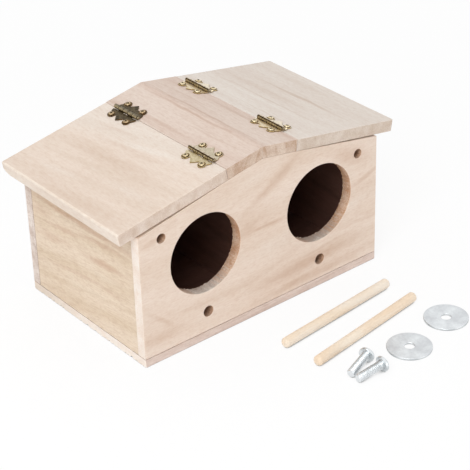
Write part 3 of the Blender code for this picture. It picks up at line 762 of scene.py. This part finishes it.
def hollows(tree, distanceMm, ends, samples=8):  # from 0 to 1 between these ends of a spot's openness
    reach = {"Distance": distanceMm * metresPerMm, "samples": samples}
    openness = add(tree, "AmbientOcclusion", reach, output="AO")
    return add(tree, "MapRange", {"From": ends}, {0: openness})


def plated(tree, shader, colour, mottle, look):  # duller in the hollows (brown patina on the brass, painted shade on the zinc), the sheen follows the mottling
    hollow = hollows(tree, look["hollowMm"], look["hollow"])
    colour = add(tree, "Mix", {"data_type": "RGBA", 7: look["deep"]}, {0: hollow, 6: colour}, 2)
    smoother, rougher = look["sheen"]
    rough = (look["rough"] - smoother, look["rough"] + rougher)
    surface(tree, shader, colour, mottle, mottle, dict(look, rough=rough, fixed={"Metallic": 1.0}))


def antiqueBrass(name, look):
    # Stamped brass with an antique plating: brown patina in hollows, pale and dull mottled in between
    finish, tree, shader = newFinish(name)
    inMm = spotInMm(tree)
    mottle = add(tree, "TexNoise", {"Scale": 1 / look["mottleMm"], "Detail": 3.0, "Roughness": 0.6},
                 {0: inMm})
    shade = add(tree, "MapRange", {"From": look["mottled"], "To Max": look["patina"]}, {0: mottle})
    brass = add(tree, "Mix", {"data_type": "RGBA", 6: look["bright"], 7: look["dull"]}, {0: shade}, 2)
    if "barrelShadeMm" in look:  # painted shade where the leaf runs in under the barrel
        out = add(tree, "SeparateXYZ", None, {0: inMm}, "X")
        brass = layOver(tree, brass, look["deep"], out, *look["barrelShadeMm"])
    plated(tree, shader, brass, mottle, look)
    return finish


brass = {key: antiqueBrass("antiqueBrass_" + key, look) for key, look in brassLooks.items()}
hinges = {
    "lengthMm": 25.0, "knuckles": 5, "knuckleGapMm": 0.4, "sheetMm": 0.6, "tipReachMm": 10.3,
    "notchReachMm": 6.0, "shoulderReachMm": 3.2, "shoulderDropMm": 0.2, "combPlayMm": 0.35, "gapMm": 0.2,
    "pinRadiusMm": 0.6, "pinPlayMm": 0.3, "pinHeadRadiusMm": 1.1, "pinHeadHeightMm": 0.7,
    "curlDegrees": 300, "curlSteps": 40, "screwReachMm": 7.0, "screwSpacingMm": 16.4, "overrunMm": 2,
    "dishRadiusMm": 2.65, "dishDepthMm": 0.3, "dishOverrunMm": 0.5, "edgeMm": 0.12, "barrelNearMm": 0.05,
    "dishNearMm": 0.02, "flatFrom": 0.995, "edgeBelow": 0.5, "lobeRadiusMm": 3.0,
    "lobe": (-100, 120, 24),  # degrees from and to, steps
    "paintedCrownFrom": -0.8, "paintedSideFrom": -0.24,  # where a barrel's painted shade and painted light bands begin, by how far its face turns from the right
    "insetsMm": {"left": {"front": 22.9, "back": 24.5}, "right": {"front": 26.3, "back": 24.5}},
}
screws = {"headRadiusMm": 1.9, "headMm": 0.8, "rimMm": 0.2, "shankRadiusMm": 0.9, "shankLengthMm": 6.0,
          "pointMm": 1.8, "recessWidthMm": 0.75, "recessReachMm": 1.45, "recessDepthMm": 0.45, "steps": 48,
          "holeRadiusMm": 1.15, "turnSeed": 7,
          "recessShade": (0.1, 0.08, 0.8)}  # painted shade in the recess: mm over the seat, mm under the dome, share of the radius
hingeFinishes = {  # lid leaf, ridge leaf, screws, barrel's crown, its side, edge; crown and side carry painted light and shade
    "hinge_left_front": ("khakiLeaf", "greyLeaf", "screw", "paintedShadeBrass", "paintedLightBarrel", "cutEdge"),
    "hinge_left_back": ("darkLeaf", "darkLeaf", "tanScrew", "tanBarrel", "dimBarrel", "dish"),
    "hinge_right_front": ("leeLeaf", "leaf", "screw", "paintedShadeBrass", "paintedLightBarrel", "cutEdge"),
    "hinge_right_back": ("leeLeaf", "leaf", "screw", "paintedShadeBrass", "paintedLightBarrel", "cutEdge"),
}
boreRadius = hinges["pinRadiusMm"] + hinges["pinPlayMm"]
knuckleRadius = boreRadius + hinges["sheetMm"]
sheetTop = hinges["sheetMm"] - knuckleRadius
screwX, screwY = hinges["screwReachMm"], hinges["screwSpacingMm"] / 2


def rolledSheet():  # a flat strip that rolls over the pin, seen along the pin
    reach = hinges["tipReachMm"] + hinges["overrunMm"]
    end = -90 - hinges["curlDegrees"]
    strip = [(reach, -knuckleRadius)] + arc((0, 0), knuckleRadius, -90, end, hinges["curlSteps"])
    return strip + arc((0, 0), boreRadius, end, -90, hinges["curlSteps"]) + [(reach, -boreRadius)]


def leafPlan(owned):  # the leaf from above: comb, shoulders, lobes, pointed corner
    half = hinges["lengthMm"] / 2
    notch = hinges["tipReachMm"] - hinges["notchReachMm"]
    shoulder = half - hinges["shoulderDropMm"]
    bay = knuckleRadius + hinges["combPlayMm"]
    finger = -knuckleRadius - hinges["overrunMm"]
    upper = arc((screwX, screwY), hinges["lobeRadiusMm"], *hinges["lobe"])
    lower = [(x, -y) for x, y in reversed(upper)]
    corner = [(hinges["notchReachMm"], -notch), (hinges["tipReachMm"], 0), (hinges["notchReachMm"], notch)]
    plan = [(hinges["shoulderReachMm"], -shoulder)] + lower + corner + upper
    plan += [(hinges["shoulderReachMm"], shoulder)]
    comb = []
    knuckle = hinges["lengthMm"] / hinges["knuckles"]
    gap = hinges["knuckleGapMm"] / 2
    for index in owned:
        low = -half + index * knuckle + (gap if index > 0 else 0)
        high = -half + (index + 1) * knuckle - (gap if index < hinges["knuckles"] - 1 else 0)
        comb += [(bay, low), (finger, low), (finger, high), (bay, high)]
    comb = comb[1:-1] if 0 in owned else [(bay, -shoulder)] + comb + [(bay, shoulder)]
    return plan + comb[::-1]


def hingeLeaf(name, owned, where, finishes, body):
    half = hinges["lengthMm"] / 2
    leaf = newPiece(name + "_brass", pushOut(rolledSheet(), -half, half, "Y"), finishes, where)
    high = knuckleRadius + hinges["overrunMm"]
    combine(leaf, "INTERSECT", pushOut(leafPlan(owned), -high, high, "Z"), where)
    hole, wide = screws["holeRadiusMm"], hinges["dishRadiusMm"]
    foot, top = -knuckleRadius - overrunMm, sheetTop + hinges["dishOverrunMm"]
    dish = [(0, foot), (hole, foot), (hole, sheetTop - hinges["dishDepthMm"]), (wide, sheetTop), (wide, top),
            (0, top)]
    for along in (-1, 1):
        combine(leaf, "DIFFERENCE", turned(dish, 40), where @ moved(screwX, along * screwY, 0))
    settle(leaf)
    easeEdges(leaf, hinges["edgeMm"], 2, 50)
    settle(leaf)
    shadeSmooth(leaf, 30)
    toRight = where.to_3x3().inverted() @ Vector((1, 0, 0))
    for face in leaf.data.polygons:  # 0 flat, 1 barrel, 2 its crown, 3 dish, 4 cut edge, 5 side; barrel, crown and side split by which way the face turns, as painted light and shade
        spot = face.center * mmPerMetre
        rightward = face.normal.dot(toRight)
        inDish = hypot(spot.x - screwX, abs(spot.y) - screwY) < wide + hinges["dishNearMm"]
        if hypot(spot.x, spot.z) < knuckleRadius + hinges["barrelNearMm"]:
            kind = 1 if rightward < hinges["paintedCrownFrom"] else 2 if rightward < hinges["paintedSideFrom"] else 5
        elif inDish and face.normal.z < hinges["flatFrom"]:
            kind = 3
        else:
            kind = 4 if abs(face.normal.z) < hinges["edgeBelow"] else 0
        face.material_index = kind
    hand(leaf, body, "antique_brass", name)


def hingePin(name, where):
    neck = hinges["lengthMm"] / 2 + hinges["gapMm"]
    half = dome(hinges["pinHeadRadiusMm"], neck, hinges["pinHeadHeightMm"], 90, 8)
    half.append((hinges["pinRadiusMm"], neck))
    profile = half + [(radius, -height) for radius, height in reversed(half)]
    lay = where @ Matrix.Rotation(pi / 2, 4, "X")
    pin = newPiece(name + "_brass", turned(profile, 32), [brass["tanBarrel"], brass["paintedShadeBrass"]], lay)
    shadeSmooth(pin, 50)
    toBack = lay.to_3x3().inverted() @ Vector((0, 1, 0))
    for face in pin.data.polygons:  # painted shade on the rear head, a lighter tan on the front one
        face.material_index = 1 if face.center.dot(toBack) > 0 else 0
    hand(pin, "box", "antique_brass", name)


def screwMesh(finish):
    head, shank, length = screws["headRadiusMm"], screws["shankRadiusMm"], screws["shankLengthMm"]
    rise = screws["headMm"] - screws["rimMm"]
    profile = dome(head, screws["rimMm"], rise, 90, 10)
    profile += [(head, 0), (shank, 0), (shank, screws["pointMm"] - length), (0, -length)]
    screw = newPiece("screw", turned(profile, screws["steps"]), [brass[finish]])
    combine(screw, "DIFFERENCE", crossRecess(screws))
    settle(screw)
    shadeSmooth(screw, 40)
    screw.data.materials.append(brass["paintedShadeBrass"])
    low, under, within = screws["recessShade"]
    for face in screw.data.polygons:  # painted shade in the recess
        spot = face.center * mmPerMetre
        reach = hypot(spot.x, spot.y) / head
        domeHeight = screws["rimMm"] + rise * sqrt(max(0, 1 - reach ** 2))
        face.material_index = 1 if low < spot.z < domeHeight - under and reach < within else 0
    mesh = screw.data
    bpy.data.objects.remove(screw, do_unlink=True)
    return mesh


def buildHinges():
    screwShapes = {finish: screwMesh(finish) for finish in ("screw", "tanScrew")}
    turns = random.Random(screws["turnSeed"])
    joint = moved(roof["ridgeBoardMm"], 0, knuckleRadius + hinges["gapMm"])
    halfTurn = Matrix.Rotation(pi, 4, "Z")
    for side, end in (("left", "front"), ("left", "back"), ("right", "front"), ("right", "back")):
        name = f"hinge_{side}_{end}"
        lid = f"lid_{side}"
        toFront = 1 if (side == "left") == (end == "front") else -1
        inset = hinges["insetsMm"][side][end]
        where = slopeFrame(side) @ joint @ moved(0, toFront * (halfDepth - inset), 0)
        lidLeaf, ridgeLeaf, screwFinish, crown, paintedSide, edge = hingeFinishes[name]
        rest = [brass[key] for key in ("barrel", crown, "dish", edge, paintedSide)]
        count = hinges["knuckles"]
        hingeLeaf(name + "_lid_leaf", range(1, count, 2), where, [brass[lidLeaf]] + rest, lid)
        opposite = where @ halfTurn
        hingeLeaf(name + "_ridge_leaf", range(0, count, 2), opposite, [brass[ridgeLeaf]] + rest, "box")
        hingePin(name + "_pin", where)
        for held, reach, body in (("lid", 1, lid), ("ridge", -1, "box")):
            for number, along in ((1, -1), (2, 1)):
                spot = moved(reach * screwX, along * screwY, sheetTop + hinges["gapMm"])
                turn = Matrix.Rotation(turns.uniform(0, pi), 4, "Z")
                screwName = f"{name}_{held}_screw_{number}"
                screw = place(screwName + "_brass", screwShapes[screwFinish], where @ spot @ turn)
                hand(screw, body, "antique_brass", screwName)
    print("hinges made")


buildHinges()


# Loose pieces

def lying(x, ahead, height, turn=0, tip=0):  # where a loose piece lies in front of the box
    lay = Matrix.Rotation(radians(turn), 4, "Z") @ Matrix.Rotation(tip, 4, "Y")
    return moved(x, -halfDepth - ahead, height) @ lay


perches = {
    "radiusMm": 3.5, "lengthMm": 101.0, "roundMm": 2.2, "steps": 48, "lengths": 50, "waveMm": 0.05,
    "waveSizeMm": (4, 4, 18),
    "spots": {"perch_1": (30.4, 36.9, 5.1, (0, 0, 0)), "perch_2": (32.2, 63.4, 7.9, (60, 0, 300))},
    "looks": {"perch_1": {"light": "#F5EADB", "warm": "#F3E2CC", "streak": "#E6C6A2"},
              "perch_2": {"light": "#F4E6D3", "warm": "#F1DCC3", "streak": "#E3BF9A"}},
    "fibreMm": (1.1, 1.1, 38), "toneMm": (9, 9, 30), "streaks": (0.5, 0.8, 0.35),
    "sanded": {"rough": (0.5, 0.66), "bump": 0.3, "bumpMm": 0.08, "fixed": {"Specular IOR Level": 0.3}},
}


def sandedDowel(name, look, seedMm):
    # Bare turned dowel, sanded smooth: warm, nearly even, with long faint streaks
    finish, tree, shader = newFinish(name)
    shifted = add(tree, "VectorMath", {"operation": "ADD", 1: seedMm}, {0: spotInMm(tree)})

    def drawn(sizeMm, detail):
        scaled = add(tree, "Mapping", {"Scale": [1 / size for size in sizeMm]}, {0: shifted})
        return add(tree, "TexNoise", {"Scale": 1.0, "Detail": detail}, {0: scaled})

    fibre = drawn(perches["fibreMm"], 3.0)
    tone = drawn(perches["toneMm"], 1.0)
    tone = add(tree, "MapRange", {"From": (0.35, 0.65)}, {0: tone})
    wood = add(tree, "Mix", {"data_type": "RGBA", 6: look["light"], 7: look["warm"]}, {0: tone}, 2)
    wood = layOver(tree, wood, look["streak"], fibre, *perches["streaks"])
    surface(tree, shader, wood, fibre, fibre, perches["sanded"])
    return finish


def buildPerches():
    radius, rounding = perches["radiusMm"], perches["roundMm"]
    half = perches["lengthMm"] / 2
    straight = half - rounding
    cap = [(0, half)] + arc((radius - rounding, straight), rounding, 90, 0, 8)
    lengths = perches["lengths"]
    body = [(radius, straight - 2 * straight * step / lengths) for step in range(1, lengths)]
    profile = cap + body + [(r, -z) for r, z in reversed(cap)]
    for name, (x, ahead, turn, seed) in perches["spots"].items():
        shape = turned(profile, perches["steps"])
        for vert in shape.verts:  # hand-sanded: never quite round
            wave = Vector([reach / size for reach, size in zip(vert.co, perches["waveSizeMm"])])
            sanded = perches["waveMm"] * (0.5 + 0.5 * noise.noise(wave + Vector(seed)))
            side = Vector((vert.co.x, vert.co.y, 0))
            vert.co -= side.normalized() * sanded * min(1, abs(side.x) + abs(side.y))
        finish = sandedDowel("sandedDowel_" + name, perches["looks"][name], seed)
        perch = newPiece(name + "_wood", shape, [finish], lying(x, ahead, radius, turn, pi / 2))
        shadeSmooth(perch, 60)
        hand(perch, "box", "dowel", name)
    print("perches made")


def brightZinc(name, look):
    # Zinc-plated steel: cool pale grey, faintly mottled by the plating, with painted shade in the hollows
    finish, tree, shader = newFinish(name)
    inMm = spotInMm(tree)
    mottle = add(tree, "TexNoise", {"Scale": 1 / look["mottleMm"], "Detail": 4.0, "Roughness": 0.65},
                 {0: inMm})
    cloud = add(tree, "TexNoise", {"Scale": 1 / look["cloudMm"], "Detail": 1.0}, {0: inMm})
    shade = add(tree, "Math", {"operation": "MULTIPLY_ADD", 1: look["clouding"]}, {0: cloud, 2: mottle})
    shade = add(tree, "MapRange", {"From": look["mottled"]}, {0: shade})
    zinc = add(tree, "Mix", {"data_type": "RGBA", 6: look["light"], 7: look["dark"]}, {0: shade}, 2)
    plated(tree, shader, zinc, mottle, look)
    return finish


plainZinc = {"clouding": 1.6, "mottled": (1.0, 1.6), "hollow": (0.75, 0.2), "sheen": (0.1, 0.12),
             "bump": 0.15, "bumpMm": 0.06}
zincLooks = looksFrom(plainZinc, ("light", "dark", "deep", "rough", "mottleMm", "cloudMm", "hollowMm"), {
    "bolt": ("#E8EBED", "#CED3D5", "#565C5E", 0.42, 3, 8, 1.2),
    "washer": ("#E9EDEF", "#D3D6D9", "#9EA2A4", 0.36, 2.2, 11, 1),
    "paintedDarkRim": ("#E0E4E6", "#AAAFB2", "#82878A", 0.36, 6, 12, 0.6),
})
zinc = {key: brightZinc("zincPlatedSteel_" + key, look) for key, look in zincLooks.items()}
bolts = {
    "radiusMm": 3.0, "shankMm": 19.5, "headRadiusMm": 5.3, "headMm": 3.7, "rimMm": 1.3, "edgeMm": 0.15,
    "filletMm": 0.2, "neckMm": 1.2, "chamferMm": 0.6, "threadMm": 0.55, "flankSlope": 1.3, "crest": 0.15,
    "pitchMm": 1.3,  # a real M6 thread has 1.0, too fine to show
    "steps": 48, "ringsPerTurn": 12, "recessReachMm": 3.1, "recessWidthMm": 1.3, "recessDepthMm": 2.2,
    "spots": {"bolt_1": (8.5, 88.0, 17), "bolt_2": (9.0, 101.4, -3)},
}


def boltShape():
    radius, neck, pitch, steps = [bolts[key] for key in ("radiusMm", "neckMm", "pitchMm", "steps")]
    head, edge, fillet = bolts["headRadiusMm"], bolts["edgeMm"], bolts["filletMm"]
    profile = dome(head, bolts["rimMm"], bolts["headMm"] - bolts["rimMm"], 88, 14)
    profile += [(head, edge), (head - edge, 0), (radius + fillet, 0), (radius, -fillet), (radius, -neck)]
    profile = [(r, z, 0) for r, z in profile]
    tip = bolts["shankMm"] - bolts["chamferMm"]
    count = int((tip - neck) / pitch * bolts["ringsPerTurn"])
    for step in range(1, count + 1):  # the thread deepens over its first turn
        down = neck + (tip - neck) * step / count
        profile.append((radius, -down, min(1, (down - neck) / pitch)))
    profile.append((radius - bolts["chamferMm"], -bolts["shankMm"], 0))
    rings = []
    for outer, height, depth in profile:
        rings.append([])
        for step in range(steps):
            angle = 2 * pi * step / steps
            phase = (height / pitch - step / steps) % 1
            groove = min(1, max(0, bolts["flankSlope"] * abs(2 * phase - 1) - bolts["crest"]))
            reach = outer - bolts["threadMm"] * groove * depth
            rings[-1].append((reach * cos(angle), reach * sin(angle), height))
    return skinned(rings)


def buildBolts():
    head = bolts["headRadiusMm"]
    tilt = atan2(head - bolts["radiusMm"], bolts["shankMm"] - bolts["chamferMm"])
    for name, (x, ahead, turn) in bolts["spots"].items():
        where = lying(x, ahead, head * cos(tilt), turn, pi / 2 - tilt)
        bolt = newPiece(name + "_steel", boltShape(), [zinc["bolt"]], where)
        combine(bolt, "DIFFERENCE", crossRecess(bolts), where)
        settle(bolt)
        shadeSmooth(bolt)
        hand(bolt, "box", "bright_zinc", name)
    print("bolts made")


washers = {"radiusMm": 15.0, "holeRadiusMm": 3.5, "thickMm": 1.3, "edgeMm": 0.25, "steps": 128,
           "edgeBelow": 0.4, "spots": {"washer_1": (82.7, 86.2), "washer_2": (41.1, 94.2)}}


def buildWashers():
    thick, edge = washers["thickMm"], washers["edgeMm"]
    rim, hole = washers["radiusMm"] - edge, washers["holeRadiusMm"] + edge
    profile = arc((rim, edge), edge, -90, 0, 3) + arc((rim, thick - edge), edge, 0, 90, 3)
    profile += arc((hole, thick - edge), edge, 90, 180, 3) + arc((hole, edge), edge, 180, 270, 3)
    for name, (x, ahead) in washers["spots"].items():
        shape = turned(profile, washers["steps"], closed=True)
        washer = newPiece(name + "_steel", shape, [zinc["washer"], zinc["paintedDarkRim"]], lying(x, ahead, 0))
        shadeSmooth(washer, 40)
        # painted reflection: the rim faces take the darker copy, a dark line along the edge
        for face in washer.data.polygons:
            face.material_index = 1 if abs(face.normal.z) < washers["edgeBelow"] else 0
        hand(washer, "box", "bright_zinc", name)
    print("washers made")


buildPerches()
buildBolts()
buildWashers()


# Stage, light and camera

stage = {
    "floorMm": 8000, "dropMm": 0.1, "glow": 0.86, "glowMm": (300, 1100), "tightMm": 6, "tight": (0.1, 0.45),
    "paintedShadowMm": 5, "paintedShadow": (0.45, 0.1), "floorColour": "#FAFAFA", "paintedShadowColour": "#8E9493", "ambient": 0.42,
    "samples": 16, "fixed": {"Roughness": 0.9, "Specular IOR Level": 0.1},
}
softboxes = {  # place, size, watts, seen in metal
    "overhead": ((100, 300, 1500), (2200, 2200), 12, False),
    "key": ((-1050, -750, 1150), (800, 800), 13, True),
    "fill": ((700, -1400, 200), (1000, 500), 3, True),
}
lampAimMm = (0, 0, 60)
cameraPlace = {"spotMm": (-594.2, -778.6, 611.0), "turn": (59.303, 1.556, -39.482), "lensMm": 127.32,
               "sensorMm": 36}


def seenStraight(tree):  # 1 for what the camera, a mirror or glass sees
    path = add(tree, "LightPath").node.outputs
    seen = path["Is Camera Ray"]
    for ray in ("Is Glossy Ray", "Is Transmission Ray"):
        seen = add(tree, "Math", "MAXIMUM", {0: seen, 1: path[ray]})
    return seen


def whitePaper():
    # A matt white sheet under the piece: near the pieces it shows their shadows, darkened further by a
    # painted shadow where they crowd it, and further out it fades to plain white
    finish, tree, shader = newFinish("whitePaper_floor")
    # painted shadow: the paper's colour darkens where the pieces shut it in
    paintedShadow = hollows(tree, stage["paintedShadowMm"], stage["paintedShadow"], stage["samples"])
    paper = add(tree, "Mix", {"data_type": "RGBA", 6: stage["floorColour"], 7: stage["paintedShadowColour"]},
                {0: paintedShadow}, 2)
    tree.links.new(paper, shader.inputs["Base Color"])
    for socket, value in stage["fixed"].items():
        shader.inputs[socket].default_value = value
    spot = add(tree, "TexCoord", output="Object")
    away = add(tree, "VectorMath", "LENGTH", {0: spot}, "Value")
    ends = [distance * metresPerMm for distance in stage["glowMm"]]
    glow = add(tree, "MapRange", {"From": ends, "To Min": stage["glow"]}, {0: away})
    tight = hollows(tree, stage["tightMm"], stage["tight"], stage["samples"])
    for factor in (tight, seenStraight(tree)):
        glow = add(tree, "Math", "MULTIPLY", {0: glow, 1: factor})
    white = add(tree, "Emission", {"Color": (1, 1, 1, 1), "Strength": 1.0})
    mixed = add(tree, "MixShader", None, {0: glow, 1: shader.outputs[0], 2: white})
    tree.links.new(mixed, tree.nodes["Material Output"].inputs["Surface"])
    return finish


def buildStage():
    half = stage["floorMm"] / 2
    shape = bmesh.new()
    shape.faces.new([shape.verts.new((x, y, -stage["dropMm"])) for x, y in rectangle(half, -half, half)])
    floor = newPiece("paper_floor", shape, [whitePaper()])
    world = bpy.data.worlds.new("studio")
    world.use_nodes = True
    tree = world.node_tree
    back = tree.nodes["Background"]
    level = add(tree, "MapRange", {"To Min": stage["ambient"]}, {0: seenStraight(tree)})
    back.inputs["Color"].default_value = (1, 1, 1, 1)
    tree.links.new(level, back.inputs["Strength"])
    bpy.context.scene.world = world


def buildLights():
    for name, (spotMm, sizeMm, watts, mirrored) in softboxes.items():
        lamp = bpy.data.lights.new(name, "AREA")
        lamp.shape = "RECTANGLE"
        lamp.size, lamp.size_y = [side * metresPerMm for side in sizeMm]
        lamp.energy = watts
        aim = (Vector(lampAimMm) - Vector(spotMm)).to_track_quat("-Z", "Y")
        piece = place(name, lamp, moved(*spotMm) @ aim.to_matrix().to_4x4())
        piece.visible_camera = False
        piece.visible_glossy = mirrored  # the overhead one would clip in flat metal


def buildCamera():
    lens = bpy.data.cameras.new("camera")
    lens.lens = cameraPlace["lensMm"]
    lens.sensor_width = cameraPlace["sensorMm"]
    camera = place("camera", lens)
    camera.location = Vector(cameraPlace["spotMm"]) * metresPerMm
    camera.rotation_euler = [radians(angle) for angle in cameraPlace["turn"]]
    bpy.context.scene.camera = camera


buildStage()
buildLights()
buildCamera()
bpy.context.scene.view_settings.view_transform = "Standard"
print("stage, light and camera made")
